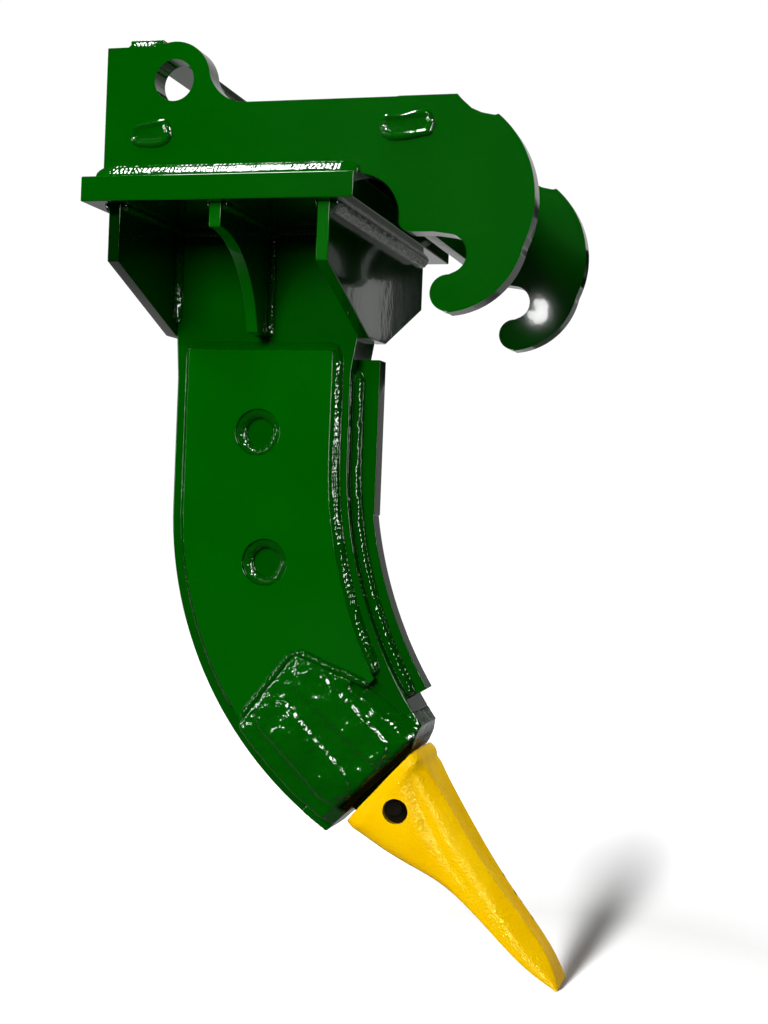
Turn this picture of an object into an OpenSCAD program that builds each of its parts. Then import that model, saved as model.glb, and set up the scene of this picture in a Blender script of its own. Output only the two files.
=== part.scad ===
// Ripper shank tooth: a welded excavator ripper with two hook plates, a curved shank and a cast tooth.
// Millimetres, +Z up, +X towards the hooks and the tooth tip, Y along the hitch pins.
// The origin is the centre of the rear pin eye on the middle plane.

/* [Hook plates] */
// thickness of each hook plate
hook_t = 30; // [25:1:36]
// clear gap between the two hook plates
hook_gap = 374; // [330:1:400]
// bore of the rear pin eye
eye_d = 50; // [44:0.5:56]
// outer radius of the rear eye
eye_r = 46; // [43:0.5:50]
// height of the eye centre over the base plate
eye_h = 118; // [112:1:124]
// distance from the eye centre to the rear edge of the plate
rear_x = 88; // [80:1:92]
// height of the flat rear top edge over the eye centre
head_z = 41.5; // [38:0.5:43]
// drop of the long top edge under the eye centre
top_drop = 29; // [27:0.5:32]
// radius of the round hook seat
seat_r = 22.6; // [21:0.1:24]
// forward distance from the eye to the hook seat centre
seat_x = 343.6; // [340:0.2:347]
// drop from the eye to the hook seat centre
seat_z = 210; // [207:0.5:213]
// radius of the hook's upper outer edge
hook_r = 126; // [122:0.5:130]
// radius of the hook's lower outer edge
heel_r = 95.5; // [93:0.5:97]
// radius of the hook tip
tip_r = 21; // [18:0.5:22]

/* [Cross members] */
// width of the top tie bar
tie_w = 43; // [36:1:43]
// thickness of the top tie bar
tie_t = 11; // [8:1:14]
// inset of the tie bar's ends from the hook plates' outer faces
tie_in = 10; // [8:0.5:14]
// length of the deck plate
deck_l = 392; // [384:1:394]
// distance from the eye back to the deck plate's rear end
deck_rear = 60; // [52:1:64]
// thickness of the deck plate
deck_t = 20; // [14:1:24]
// drop of the deck plate's middle under the eye centre
deck_drop = 63; // [58:1:70]
// length of each rear tenon
tenon_rear_l = 42; // [30:1:46]
// length of each front tenon
tenon_front_l = 52; // [36:1:56]
// thickness of the front cross plate
cross_t = 15; // [10:1:16]
// height of the lower edge of the front cross plate under the eye centre
cross_drop = 179; // [170:1:181]
// distance from the hook seat centre back to the front cross plate
cross_back = 44.5; // [43:0.5:46]

/* [Base plate] */
// width of the base plate along the pins
base_w = 480; // [470:1:520]
// thickness of the base plate
base_t = 30; // [24:1:36]
// rear overhang past the hook plates
base_rear = 18; // [12:1:30]
// forward distance from the eye to the front edge
base_front = 236; // [232:1:238]

/* [Gussets] */
// thickness of the transverse plates and middle gussets
gus_t = 15; // [12:1:18]
// half width of the transverse plates
gus_half = 222; // [205:1:228]
// straight depth of the plates below the base plate
gus_straight = 69; // [50:1:80]
// full depth of the plates below the base plate
gus_h = 138; // [132:1:142]
// straight depth of the middle gussets
mid_straight = 29; // [22:1:36]
// forward distance from the eye to the middle gussets
mid_x = 53; // [40:1:70]
// radius of the middle gussets' hollow edge
mid_r = 140; // [130:1:145]

/* [Shank] */
// thickness of the shank plate
shank_t = 80; // [70:1:84]
// forward distance from the eye to the straight front edge
shank_front = 180.5; // [178:0.5:183]
// distance from the eye back to the straight rear edge
shank_rear = 58; // [55:0.5:60]
// radius of the hollow front edge
front_r = 561.4; // [545:0.2:575]
// radius of the rounded rear edge
back_r = 482.5; // [470:0.5:495]
// drop of the start of the front curve under the eye centre
front_drop = 439.4; // [430:0.2:450]
// drop of the start of the rear curve under the eye centre
back_drop = 508; // [500:1:516]
// flare of the shank's front edge up to the front transverse plate
front_flare = 7.5; // [5:0.5:9]
// flare of the shank's rear edge up to the rear transverse plate
rear_flare = 3.5; // [2:0.5:5]

/* [Cheek plates] */
// thickness of each cheek plate
cheek_t = 12; // [10:1:16]
// drop of the cheek plates' top edge under the eye centre
cheek_top = 304; // [302:1:320]
// inset of the cheek plates from the front edge of the shank
cheek_in_front = 21.6; // [18:0.1:26]
// inset of the cheek plates from the rear edge of the shank
cheek_in_back = 20; // [16:0.5:26]
// radius of the plug-weld holes
plug_r = 30; // [24:0.5:34]
// forward distance from the eye to the upper plug-weld hole
plug_high_x = 61; // [50:1:72]
// drop of the upper plug-weld hole under the eye centre
plug_high_drop = 410.5; // [400:0.5:420]
// forward distance from the eye to the lower plug-weld hole
plug_low_x = 77; // [66:1:88]
// drop of the lower plug-weld hole under the eye centre
plug_low_drop = 578; // [568:0.5:588]

/* [Shin plate] */
// thickness of the shin plate along the pins
shin_t = 28; // [22:1:34]
// height of the straight part in front of the shank
shin_straight = 31; // [28:0.5:34]
// height of the curved part in front of the shank
shin_curve = 24.4; // [21:0.2:27]
// drop of the shin plate's top end under the eye centre
shin_top = 312; // [304:1:326]
// drop of the bend between its straight and curved parts
shin_bend = 512; // [506:1:518]
// angle of its square lower end round the hollow front edge
shin_sweep = 32.7; // [31:0.1:33.5]

/* [Adapter] */
// thickness of each adapter strap
strap_t = 20; // [16:1:24]
// thickness of the crotch between the shank end and the shoulder
crotch_l = 35; // [28:1:40]
// distance from the shoulder to the back of the tooth
shoulder_gap = 12; // [11:0.5:14]
// height of the nose at the shoulder
nose_h = 96; // [88:1:100]
// width of the nose at the shoulder
nose_w = 76; // [70:1:78]
// length of the nose inside the tooth
nose_l = 104; // [90:1:110]
// height of the cast fingers over each strap
finger_h = 6; // [4:0.5:8]
// width of the chamfer along each strap's front edge
strap_chamfer = 18; // [12:1:22]
// width of the chamfer along each strap's shoulder
shoulder_chamfer = 13; // [8:0.5:15]

/* [Tooth] */
// length of the tooth from its back rim to the tip
tooth_l = 328; // [310:1:340]
// width of the tooth at the back rim
tooth_w = 112; // [106:1:118]
// width of the tip edge
tip_w = 66; // [56:1:72]
// angle of the tooth axis under the horizontal
tooth_pitch = 45.6; // [45:0.1:46.2]
// clearance round the nose in the socket
socket_fit = 1; // [0.6:0.1:1.5]

/* [Pin] */
// diameter of the pin hole through tooth and nose
pin_hole_d = 32; // [29:0.5:33]
// diameter of the steel pin
pin_d = 20; // [17:0.5:21]
// distance of the pin hole from the back rim of the tooth
pin_s = 31; // [28:0.5:36]
// recess of the pin ends under the tooth's side faces
pin_recess = 5; // [3:0.5:8]

/* [Welds] */
// leg of the outer hook plate fillets
hook_leg = 18; // [12:0.5:19]
// leg of the inner hook plate fillets
inner_leg = 12; // [8:0.5:14]
// leg of the fillets round the tie bar
tie_leg = 8; // [5:0.5:8]
// leg of the fillets in the gusset bays
bay_leg = 8; // [5:0.5:9]
// leg of the fillets between the shank and the base plate
neck_leg = 10; // [7:0.5:12]
// leg of the fillets behind the hook plates and the cheek plates
edge_leg = 8; // [5:0.5:9]
// leg of the fillets along the adapter straps
strap_leg = 8; // [5:0.5:9]
// leg of the fillets under the base plate
gus_leg = 12; // [8:0.5:14]
// leg of the front fillets on the shin plate
shin_leg = 12; // [8:0.5:13]
// height of the tenon plug welds over the plates
plug_h = 4; // [2:0.5:6]

/* [Hidden] */
$fn = 96;
hook_y = hook_gap/2 + hook_t/2;
out_y = hook_gap/2 + hook_t;
base_top = -eye_h;
base_bot = -eye_h - base_t;
gus_bot = base_bot - gus_h;
rear_plate_x = -shank_rear - rear_flare - gus_t;
front_plate_x = shank_front + front_flare;
front_c = [shank_front + front_r, -front_drop];
back_c = [back_r - shank_rear, -back_drop];
hook_c = [seat_x - 27.6, 61 - seat_z];
heel_c = [seat_x - 6.5, 28 - seat_z];
tip_c = [seat_x + 2, -seat_z - 44.5];
// the tooth frame: s runs along the tooth from its back rim, n upwards across it
tooth_o = [244, -859];
end_s = -shoulder_gap - crotch_l;
// hollow between the eye and the long top edge
ear_hollow_c = [eye_r + 47, 49.2 - top_drop];
ear_hollow_r = 50;
// hollow in front of the base plate
arch_drop = 49.5;
arch_r = 51.3;
// rounded beak over the hook's mouth
beak_c = [seat_x - 43.7, 41.6 - seat_z];
beak_r = 16.1;
nose_mid = 2;
nose_flat = 8;
nose_tip_up = 22;
nose_tip_down = 18;
nose_tip_half = 21;
pin_n = -1;
pin_off = 4.5;
// corners of an adapter strap along the tooth (s) and across it (n)
strap_tip = [-203, 32];
strap_top = [-110, 75];
strap_foot = [-183, -110];
strap_inset = 15;
brow = [-shoulder_gap - 15, 91];
chin = [-shoulder_gap, 63];
notch = [-shoulder_gap, -26];
toe = [3 - shoulder_gap, -52];
// slant of the tooth's back end: it leans back towards the top
rim_lean = 0.07;
lean_n = 52;
lean_l = 60;
// the two cast fingers on a strap: ends of each one's middle line and its radius
fingers = [[[-164, 24], [-44, 33], 18], [[-160, -42], [-48, -40], 23]];
// drop under which the shank's edges are straight again
front_flare_end = 330;
rear_flare_end = 340;
// longer than the part, for cuts
far = 1000;
cheek_sweep = 28;
cheek_back_sweep = 34;
plugs = [[plug_high_x, -plug_high_drop], [plug_low_x, -plug_low_drop]];
pad_r = 17;
tie_half = out_y - tie_in;
// faces of the plates in the gusset bays: place and the way each one looks
bay_faces = [[rear_plate_x + gus_t, 1], [mid_x, -1], [mid_x + gus_t, 1], [front_plate_x, -1]];
pin_half = 54 - pin_recess;
tenon_rear_x = -27;
tenon_front_x = 291;
cheek_y = shank_t/2;
tie_x = -63;

// lays a drawing in X and Z, thickness t, its middle at y
module in_xz(y, t) {
    translate([0, y, 0])
        rotate([90, 0, 0])
            linear_extrude(height = t, center = true)
                children();
}

// lays a drawing in Y and Z, thickness t forward from x
module in_yz(x, t) {
    translate([x, 0, 0])
        rotate([90, 0, 90])
            linear_extrude(height = t)
                children();
}

// stands a drawing in X and Y, height h up from z
module in_xy(z, h) {
    translate([0, 0, z])
        linear_extrude(height = h)
            children();
}

// sweeps a drawing of radius and Y downwards round centre c, from angle a0 over angle a1
module sweep(c, a0, a1) {
    translate([c[0], 0, c[1]])
        rotate([90, 0, 0])
            rotate([0, 0, a0])
                rotate_extrude(angle = a1, $fn = 180)
                    children();
}

module both_sides() {
    children();
    mirror([0, 1, 0])
        children();
}

module tooth_frame() {
    translate([tooth_o[0], 0, tooth_o[1]])
        rotate([0, tooth_pitch, 0])
            children();
}

// the same frame for drawings in X and Z
module tooth_draw() {
    translate(tooth_o)
        rotate(-tooth_pitch)
            children();
}

// hook plate
module hook_outline() {
    // flat head and the body under it
    translate([-rear_x, base_top])
        square([rear_x, head_z - base_top]);
    translate([-rear_x, base_top])
        square([rear_x + seat_x + 6, -top_drop - base_top]);
    circle(eye_r);
    // hollow between the eye and the long top edge
    difference() {
        translate([0, base_top + 20])
            square([ear_hollow_c[0], -base_top - 10]);
        translate(ear_hollow_c)
            circle(ear_hollow_r);
    }
    // hook disc and heel
    translate(hook_c)
        circle(hook_r);
    translate(heel_c)
        circle(heel_r);
}

module hook_cuts() {
    // over the long top edge
    translate([eye_r + 60, 0.6 - top_drop])
        square([far, far/10]);
    // notch behind the hook's round edge
    polygon([[seat_x + 5, 1], [seat_x + 5, -29], [seat_x + 12, -36], [seat_x + 22, -45],
        [seat_x + 34, -50.5], [seat_x + 49, -53.8], [seat_x + 60, -51], [seat_x + 60, 1]]);
    // open space in front of the base plate and under the beak
    difference() {
        translate([base_front - 2, base_top - arch_drop])
            circle(arch_r);
        translate([base_front - 80, base_top - 120])
            square([80, 240]);
    }
    polygon([[100, base_top], [base_front, base_top], [base_front, base_top - arch_drop],
        [seat_x - 59.7, base_top - arch_drop], [seat_x - 59.7, 25.4 - seat_z], [seat_x - 17.6, 25.4 - seat_z],
        [seat_x + 4, 22.3 - seat_z], [seat_x + 4, -seat_z], [seat_x + 8.4, -seat_z - 20.9],
        [seat_x - 8, -seat_z - 28], [seat_x + 2, -seat_z - 44.5], [seat_x + 2, -seat_z - 90],
        [100, -seat_z - 90]]);
    // rounded beak
    difference() {
        translate([seat_x - 60, 25 - seat_z])
            square([16.3, 16.6]);
        translate(beak_c)
            circle(beak_r);
    }
    // round seat of the hook
    translate([seat_x, -seat_z])
        circle(seat_r);
    // rear eye
    circle(eye_d/2);
    // slots for the deck plate's tenons
    translate([tenon_rear_x, -deck_drop])
        square([tenon_rear_l, deck_t], center = true);
    translate([tenon_front_x, -deck_drop])
        square([tenon_front_l, deck_t], center = true);
}

module hook_plate() {
    in_xz(-hook_y, hook_t) {
        difference() {
            hook_outline();
            hook_cuts();
        }
        translate(tip_c)
            circle(tip_r);
    }
}

module hook_plate_left() {
    color("#0a5a14")
        hook_plate();
}

module hook_plate_right() {
    color("#0a5a14")
        mirror([0, 1, 0])
            hook_plate();
}

// flat bar over the rear top edges
module top_tie_bar() {
    color("#0a5a14")
        translate([tie_x, -tie_half, head_z])
            cube([tie_w, 2*tie_half, tie_t]);
}

// deck plate with two tenons on each side
module deck_plate() {
    color("#0a5a14")
        in_xy(-deck_drop - deck_t/2, deck_t) {
            translate([-deck_rear, -hook_gap/2])
                square([deck_l, hook_gap]);
            translate([tenon_rear_x - tenon_rear_l/2, -out_y])
                square([tenon_rear_l, 2*out_y]);
            translate([tenon_front_x - tenon_front_l/2, -out_y])
                square([tenon_front_l, 2*out_y]);
        }
}

// cross plate behind the hook mouths, under the deck plate
module front_cross_plate() {
    color("#0a5a14")
        translate([seat_x - cross_back, -hook_gap/2, -cross_drop])
            cube([cross_t, hook_gap, cross_drop - deck_drop - deck_t/2]);
}

module base_plate() {
    color("#0a5a14")
        translate([-rear_x - base_rear, -base_w/2, base_bot])
            cube([rear_x + base_rear + base_front, base_w, base_t]);
}

// plate across the shank, narrowing to the shank's thickness
module transverse_outline() {
    polygon([[-gus_half, base_bot], [gus_half, base_bot], [gus_half, base_bot - gus_straight],
        [shank_t/2, gus_bot], [-shank_t/2, gus_bot], [-gus_half, base_bot - gus_straight]]);
}

module rear_transverse_plate() {
    color("#0a5a14")
        in_yz(rear_plate_x, gus_t)
            transverse_outline();
}

module front_transverse_plate() {
    color("#0a5a14")
        in_yz(front_plate_x, gus_t)
            transverse_outline();
}

module mid_gusset() {
    in_yz(mid_x, gus_t)
        difference() {
            translate([-gus_half, gus_bot])
                square([gus_half - shank_t/2, gus_h]);
            translate([-gus_half + 2, base_bot - mid_straight - mid_r])
                circle(mid_r);
        }
}

module mid_gusset_left() {
    color("#0a5a14")
        mid_gusset();
}

module mid_gusset_right() {
    color("#0a5a14")
        mirror([0, 1, 0])
            mid_gusset();
}

// shank: curved plate, grown by g (negative insets it); only the full plate flares to the transverse plates
module shank_outline(g_front, g_back) {
    top_front = shank_front + (g_front == 0 ? front_flare : g_front);
    top_rear = -shank_rear - (g_back == 0 ? rear_flare : g_back);
    difference() {
        polygon([[-shank_rear - g_back, -far], [-shank_rear - g_back, -rear_flare_end], [top_rear, gus_bot],
            [top_rear, base_bot], [top_front, base_bot], [top_front, gus_bot],
            [shank_front + g_front, -front_flare_end], [shank_front + g_front, -front_drop],
            [front_c[0], -front_drop], [front_c[0], -far]]);
        // hollow front edge
        translate(front_c)
            circle(front_r - g_front, $fn = 240);
        // rounded rear edge
        difference() {
            translate([-far, -far - 1])
                square([far + back_c[0], far + 1 - back_drop]);
            translate(back_c)
                circle(back_r + g_back, $fn = 240);
        }
    }
}

// everything in front of the cut across the shank's end at s
module end_half(s) {
    tooth_draw()
        translate([s, -far/2])
            square([far, far]);
}

module shank() {
    color("#0a5a14")
        in_xz(0, shank_t)
            difference() {
                shank_outline(0, 0);
                end_half(end_s);
            }
}

// drawing of an adapter strap: pointed behind, rounded along the shank's rear edge
module strap_outline() {
    intersection() {
        tooth_draw()
            polygon([strap_tip, strap_foot, [toe[0], strap_foot[1]], toe, notch, chin, brow, strap_top]);
        translate(back_c)
            circle(back_r - strap_inset, $fn = 240);
    }
}

module cheek_plate() {
    in_xz(-cheek_y - cheek_t/2, cheek_t)
        difference() {
            shank_outline(-cheek_in_front, -cheek_in_back);
            translate([-far/2, -cheek_top])
                square([far, far]);
            // behind the adapter strap
            tooth_draw()
                polygon([strap_tip, strap_tip + 1.64*(strap_foot - strap_tip), [far/2, -far/2],
                    [far/2, far/2], strap_top + [strap_leg, far/2], strap_top]);
            for (p = plugs)
                translate(p)
                    circle(plug_r);
        }
}

module cheek_plate_left() {
    color("#0a5a14")
        cheek_plate();
}

module cheek_plate_right() {
    color("#0a5a14")
        mirror([0, 1, 0])
            cheek_plate();
}

// shin plate: straight above, curved below, cut square at its lower end
module shin_plate() {
    color("#0a5a14")
        in_xz(0, shin_t)
            difference() {
                translate([shank_front, -far])
                    square([front_r/2, far - shin_top]);
                // behind it: the shank's front edge
                difference() {
                    translate([shank_front - 1, -far - 1])
                        square([front_r/2 + 2, far + 1 - front_drop]);
                    translate(front_c)
                        circle(front_r, $fn = 240);
                }
                // in front of it
                translate([shank_front + shin_straight, -shin_bend])
                    square([front_r, shin_bend]);
                difference() {
                    translate(front_c)
                        circle(front_r - shin_curve, $fn = 240);
                    translate([0, -shin_bend])
                        square([2*front_c[0], far]);
                }
                // square lower end
                translate(front_c)
                    rotate(180 + shin_sweep)
                        square([far, far]);
                // taper to the front transverse plate's weld at the top
                polygon([[shank_front - 1, 0], [shank_front - 1, -front_flare_end],
                    [shank_front, -front_flare_end], [front_plate_x, gus_bot], [front_plate_x, 0]]);
            }
}

// nose drawings along the tooth, grown by g
module nose_side(g) {
    polygon([[-shoulder_gap - 1, nose_mid - nose_h/2 - g], [-shoulder_gap - 1, nose_mid + nose_h/2 + g],
        [nose_flat, nose_mid + nose_h/2 + g], [nose_l + g, nose_mid + nose_tip_up + g],
        [nose_l + g, nose_mid - nose_tip_down - g], [nose_flat, nose_mid - nose_h/2 - g]]);
}

module nose_top(g) {
    polygon([[-shoulder_gap - 1, -nose_w/2 - g], [-shoulder_gap - 1, nose_w/2 + g],
        [nose_flat, nose_w/2 + g], [nose_l + g, nose_tip_half + g], [nose_l + g, -nose_tip_half - g],
        [nose_flat, -nose_w/2 - g]]);
}

module nose(g) {
    intersection() {
        in_xz(0, tooth_w*2)
            nose_side(g);
        in_xy(-tooth_w, tooth_w*2)
            nose_top(g);
    }
}

module pin_bore(d, half) {
    translate([pin_s, 0, pin_n])
        rotate([90, 0, 0])
            cylinder(h = 2*half, d = d, center = true);
}

// cast fingers on a strap's outer face
module strap_fingers() {
    tooth_draw()
        for (f = fingers)
            hull() {
                translate(f[0])
                    circle(f[2], $fn = 32);
                translate(f[1])
                    circle(f[2], $fn = 32);
            }
}

// wedge that chamfers a strap's front edge
module strap_chamfer_cut() {
    edge = brow - strap_top;
    translate([0, -cheek_y - strap_t, 0])
        tooth_frame()
            translate([strap_top[0], 0, strap_top[1]])
                rotate([0, -atan2(edge[1], edge[0]), 0])
                    in_yz(-strap_chamfer, norm(edge) + 2*strap_chamfer)
                        polygon([[0, -strap_chamfer], [strap_chamfer, 0], [strap_chamfer, strap_chamfer],
                            [-strap_chamfer, strap_chamfer], [-strap_chamfer, -2*strap_chamfer]]);
}

// wedge that chamfers a strap's shoulder, fingers included
module shoulder_chamfer_cut() {
    end = toe[0] + 1;
    c = shoulder_chamfer;
    translate([0, -cheek_y - strap_t, 0])
        tooth_frame()
            in_xy(strap_foot[1], brow[1] - strap_foot[1])
                polygon([[-shoulder_gap - 2*c, -c], [end, end + shoulder_gap + c], [end, -c]]);
}

module adapter() {
    color("#0a5a14")
        difference() {
            union() {
                // crotch across the shank's end
                in_xz(0, shank_t)
                    intersection() {
                        shank_outline(0, 0);
                        tooth_draw()
                            polygon([[end_s, -far], [toe[0], -far], toe, notch, chin, brow,
                                [brow[0], far], [end_s, far]]);
                    }
                both_sides() {
                    in_xz(-cheek_y - strap_t/2, strap_t)
                        strap_outline();
                    in_xz(-cheek_y - strap_t, 2*finger_h)
                        strap_fingers();
                }
                tooth_frame()
                    nose(0);
            }
            tooth_frame()
                pin_bore(pin_hole_d, tooth_w);
            both_sides() {
                strap_chamfer_cut();
                shoulder_chamfer_cut();
            }
        }
}

// Sections along the tooth: place s, ridge height, keel depth, half width, half width between the ridges
// and depth of the hollow between them. The form runs smoothly from one to the next.
sections = [
    [0, 67, -65, tooth_w/2, 45, 1],
    [9, 68, -66, tooth_w/2 + 1.5, 45, 1],
    [17, 64, -64, tooth_w/2, 40, 3],
    [60, 53, -56, tooth_w/2 - 4, 31, 8],
    [130, 38.5, -27, 44, 28, 8],
    [211, 27.5, -14.5, 40, 22, 5],
    [258, 24.5, -12, 38, 18, 3],
    [290, 19, -8, 36, 21, 1],
    [tooth_l - 3, 6, 1, tip_w/2, 28, 0.4]];
tooth_steps = 30;

// Section i, and the size in column k at place s between sections i and i + 1, on a smooth curve
function slope(i, k) =
    i == 0 || i == len(sections) - 1 ? 0
    : (sections[i + 1][k] - sections[i - 1][k])/(sections[i + 1][0] - sections[i - 1][0]);
function span(s, i = 0) = i >= len(sections) - 2 || s <= sections[i + 1][0] ? i : span(s, i + 1);
function curve(s, k, i) =
    let (l = sections[i + 1][0] - sections[i][0], u = (s - sections[i][0])/l)
    (2*u^3 - 3*u^2 + 1)*sections[i][k] + (u^3 - 2*u^2 + u)*l*slope(i, k)
        + (3*u^2 - 2*u^3)*sections[i + 1][k] + (u^3 - u^2)*l*slope(i + 1, k);
function at(s, k) = curve(s, k, span(s));

// Right half of a section from the crown to the keel, as [y, n]
function half_ring(s) =
    let (up = at(s, 1), low = at(s, 2), w = at(s, 3), r = at(s, 4), tall = up - low)
    [[0, up - at(s, 5)], [0.6*r, up - 0.8*at(s, 5)], [r, up], [0.86*w, up - 0.22*tall],
        [0.9*w, up - 0.32*tall], [w, up - 0.5*tall], [0.96*w, low + 0.22*tall], [0.8*w, low + 0.02*tall],
        [0, low]];
function lean(s, n) = s - rim_lean*(n + lean_n)*max(0, 1 - s/lean_l);
function ring(s) =
    let (h = half_ring(s), m = len(h))
    concat([for (q = h) [lean(s, q[1]), q[0], q[1]]],
        [for (i = [m - 2 : -1 : 1]) [lean(s, h[i][1]), -h[i][0], h[i][1]]]);

// cast body of the tooth, lofted through its sections
module tooth_body() {
    places = concat([0, 4.5], [for (i = [0 : tooth_steps]) 9 + (tooth_l - 12)*i/tooth_steps]);
    rings = [for (s = places) ring(s)];
    m = len(rings[0]);
    points = [for (r = rings) each r];
    last = (len(rings) - 1)*m;
    walls = [for (j = [0 : len(rings) - 2], i = [0 : m - 1])
        let (a = j*m + i, b = j*m + (i + 1)%m)
        each [[a, b, b + m], [a, b + m, a + m]]];
    polyhedron(points, concat([[for (i = [m - 1 : -1 : 0]) i]], walls, [[for (i = [0 : m - 1]) last + i]]));
}

module tooth_tip() {
    color("#f2bb0a")
        tooth_frame()
            difference() {
                tooth_body();
                nose(socket_fit);
                pin_bore(pin_hole_d, tooth_w);
            }
}

module tooth_pin() {
    color("#2a2624")
        tooth_frame()
            translate([pin_s - pin_off, 0, pin_n])
                rotate([90, 0, 0])
                    cylinder(h = 2*pin_half, d = pin_d, center = true);
}

// rubber sleeve that holds the pin in the nose's bore
module pin_retainer() {
    color("#141414")
        tooth_frame()
            difference() {
                pin_bore(pin_hole_d, pin_half - 3);
                translate([pin_s - pin_off, 0, pin_n])
                    rotate([90, 0, 0])
                        cylinder(h = 2*pin_half + 4, d = pin_d, center = true);
            }
}

// weld metal
module fillet(p, u, v) {
    polygon([p, p + u, p + v]);
}

module hook_fillet_welds() {
    color("#0a5a14")
        both_sides() {
            in_yz(-rear_x, rear_x + base_front)
                fillet([-out_y, base_top], [-hook_leg, 0], [0, hook_leg]);
            in_yz(-rear_x, rear_x + base_front)
                fillet([-hook_gap/2, base_top], [inner_leg, 0], [0, inner_leg]);
            in_xz(-hook_y, hook_t)
                fillet([-rear_x, base_top], [-edge_leg, 0], [0, edge_leg]);
        }
}

// a bead of length l over a tenon's end, round at both ends
module plug_pad(x, l) {
    for (end = [x - l/2 + pad_r, x + l/2 - pad_r])
        translate([end, 0, -deck_drop])
            rotate([90, 0, 0])
                cylinder(h = plug_h, r1 = pad_r, r2 = pad_r - plug_h);
    in_yz(x - l/2 + pad_r, l - 2*pad_r)
        polygon([[0, -deck_drop - pad_r], [0, -deck_drop + pad_r], [-plug_h, -deck_drop + pad_r - plug_h],
            [-plug_h, -deck_drop - pad_r + plug_h]]);
}

module tenon_plug_welds() {
    color("#0a5a14")
        both_sides()
            translate([0, -out_y, 0]) {
                plug_pad(tenon_rear_x, tenon_rear_l + pad_r);
                plug_pad(tenon_front_x, tenon_front_l + pad_r);
            }
}

module tie_bar_welds() {
    color("#0a5a14")
        both_sides() {
            in_xz(-(tie_half + hook_gap/2)/2, tie_half - hook_gap/2)
                fillet([tie_x, head_z], [-tie_leg, 0], [0, tie_leg]);
            in_yz(tie_x, tie_w)
                fillet([-tie_half, head_z], [-tie_leg, 0], [0, tie_leg]);
            in_yz(tie_x + 2, tie_w - 4)
                fillet([-hook_gap/2, head_z], [tie_leg, 0], [0, -tie_leg]);
        }
}

module gusset_welds() {
    color("#0a5a14") {
        // across the transverse plates, under the base plate
        in_xz(0, 2*gus_half - 8) {
            fillet([rear_plate_x, base_bot], [-gus_leg, 0], [0, -gus_leg]);
            fillet([front_plate_x + gus_t, base_bot], [gus_leg, 0], [0, -gus_leg]);
        }
        both_sides() {
            // inner side of the transverse plates
            in_xz(-(gus_half + shank_t/2)/2, gus_half - shank_t/2 - 4)
                for (f = bay_faces)
                    fillet([f[0], base_bot], [f[1]*bay_leg, 0], [0, -bay_leg]);
            // shank to base plate
            in_yz(rear_plate_x + gus_t, mid_x - rear_plate_x - gus_t)
                fillet([-shank_t/2, base_bot], [-neck_leg, 0], [0, -neck_leg]);
            in_yz(mid_x + gus_t, front_plate_x - mid_x - gus_t)
                fillet([-shank_t/2, base_bot], [-neck_leg, 0], [0, -neck_leg]);
            // upright corners along the shank
            in_xy(gus_bot, gus_h)
                for (f = bay_faces)
                    fillet([f[0], -shank_t/2], [f[1]*bay_leg, 0], [0, -bay_leg]);
        }
    }
}

module cheek_fillet_welds() {
    y = -cheek_y;
    xf = shank_front - cheek_in_front;
    xb = cheek_in_back - shank_rear;
    color("#0a5a14")
        both_sides() {
            // front edge
            in_xy(-front_drop, front_drop - cheek_top)
                fillet([xf, y], [cheek_t, 0], [0, -cheek_t]);
            sweep(front_c, 180, cheek_sweep)
                fillet([front_r + cheek_in_front, -y], [-cheek_t, 0], [0, cheek_t]);
            // top edge
            in_yz(xb, xf - xb)
                fillet([y, -cheek_top], [0, cheek_t], [-cheek_t, 0]);
            // rear edge
            in_xy(-back_drop, back_drop - cheek_top)
                fillet([xb, y], [-edge_leg, 0], [0, -edge_leg]);
            sweep(back_c, 180, cheek_back_sweep)
                fillet([back_r - cheek_in_back, -y], [edge_leg, 0], [0, edge_leg]);
        }
}

// ring welds inside the cheek plates' round holes
module cheek_plug_welds() {
    color("#0a5a14")
        both_sides()
            for (p = plugs)
                translate([p[0], -cheek_y, p[1]])
                    rotate([90, 0, 0])
                        rotate_extrude()
                            polygon([[plug_r, 0], [plug_r, 0.8*cheek_t], [plug_r - cheek_t/2, 0.7*cheek_t],
                                [plug_r - cheek_t, 0]]);
}

module shin_fillet_welds() {
    y = -shin_t/2;
    color("#0a5a14")
        both_sides() {
            in_xy(-front_drop, front_drop - front_flare_end)
                fillet([shank_front, y], [shin_leg, 0], [0, -shin_leg]);
            sweep(front_c, 180, shin_sweep - 0.2)
                fillet([front_r, -y], [-shin_leg, 0], [0, shin_leg]);
        }
}

// bead along a strap's edge from its tip to point p, on the side given by turn
module strap_bead(p, start, l, turn) {
    edge = p - strap_tip;
    translate([strap_tip[0], 0, strap_tip[1]])
        rotate([0, -atan2(edge[1], edge[0]), 0])
            in_yz(start, l)
                fillet([0, 0], [cheek_t - strap_t, 0], [0, turn*strap_leg]);
}

module adapter_welds() {
    color("#0a5a14")
        both_sides()
            translate([0, -cheek_y - cheek_t, 0])
                tooth_frame() {
                    strap_bead(strap_top, 2, norm(strap_top - strap_tip) - 6, 1);
                    strap_bead(strap_foot, 0, norm(strap_foot - strap_tip) - 31, -1);
                }
}

hook_plate_left();
hook_plate_right();
top_tie_bar();
deck_plate();
front_cross_plate();
base_plate();
rear_transverse_plate();
front_transverse_plate();
mid_gusset_left();
mid_gusset_right();
shank();
cheek_plate_left();
cheek_plate_right();
shin_plate();
adapter();
tooth_tip();
tooth_pin();
pin_retainer();
hook_fillet_welds();
tenon_plug_welds();
tie_bar_welds();
gusset_welds();
cheek_fillet_welds();
cheek_plug_welds();
shin_fillet_welds();
adapter_welds();
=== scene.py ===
import math
import bmesh
import bpy
from mathutils import Euler, Matrix, Vector, noise


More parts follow.
